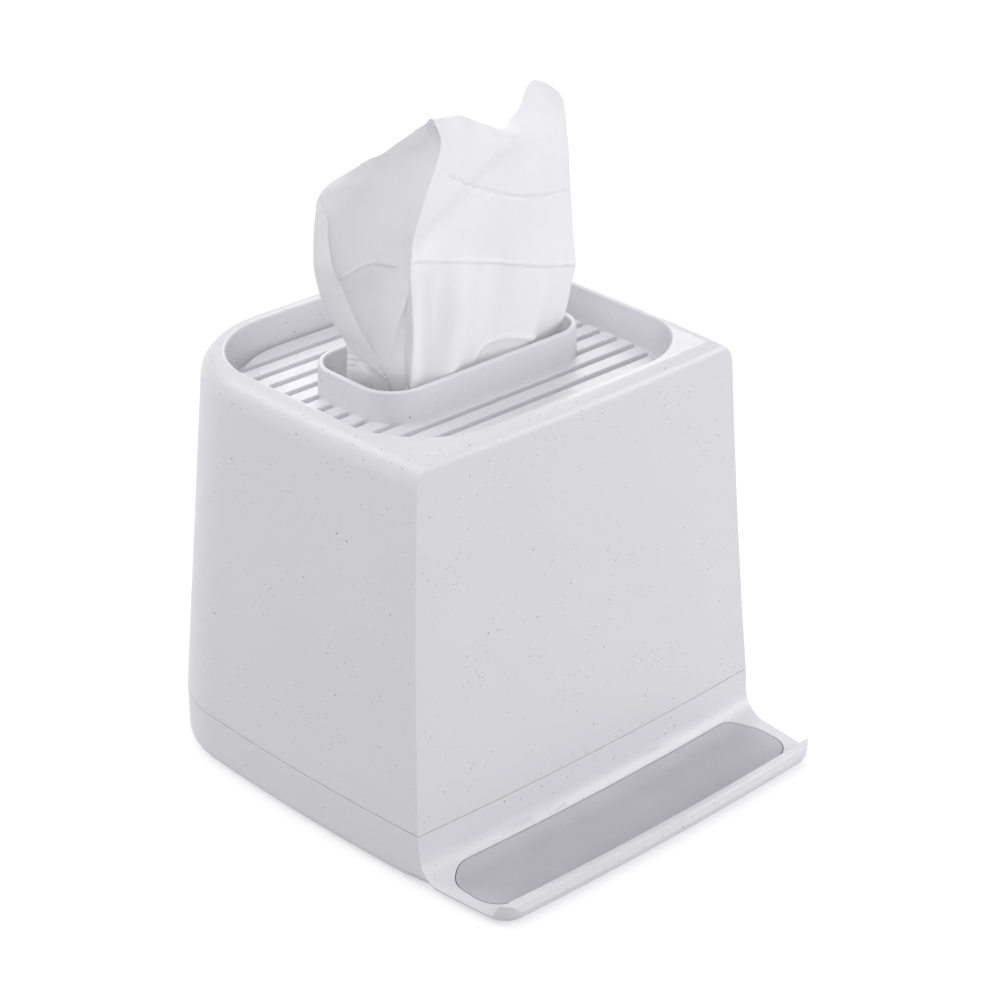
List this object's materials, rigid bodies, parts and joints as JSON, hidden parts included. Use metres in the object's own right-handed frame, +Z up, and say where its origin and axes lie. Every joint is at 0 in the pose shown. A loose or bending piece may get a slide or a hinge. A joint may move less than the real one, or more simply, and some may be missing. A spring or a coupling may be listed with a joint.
{
  "type": "tissue box holder",
  "caption": "Tissue holder: lift-off cover with a ribbed tray and a collared slot, on a shallow base whose front ledge with a lip and a mat holds a phone.",
  "frame": {"origin": "on the surface that the feet stand on, under the centre of the whole footprint", "axes": "+Z up, -Y towards the front with the ledge, +X to the right for someone who faces the front"},
  "size_m": [0.1556, 0.1768, 0.2281],
  "materials": {
    "holder_plastic": "satin off-white with fine dark specks",
    "mat_silicone": "matte grey silicone",
    "foot_rubber": "matte grey",
    "tissue_paper": "soft white tissue"
  },
  "bodies": {
    "base": {"base": "holder_plastic", "ledge_mat": "mat_silicone", "rubber_feet": "foot_rubber", "tissue_stack": "tissue_paper"},
    "cover": {"cover": "holder_plastic"},
    "tissue": {"tissue_sheet": "tissue_paper"}
  },
  "joints": [
    {"name": "cover_lift", "type": "slide", "parent": "base", "child": "cover", "axis": [0, 0, 1], "range_m": [0, 0.12]},
    {"name": "tissue_pull", "type": "slide", "parent": "cover", "child": "tissue", "axis": [0, 0, 1], "range_m": [0, 0.055]}
  ]
}
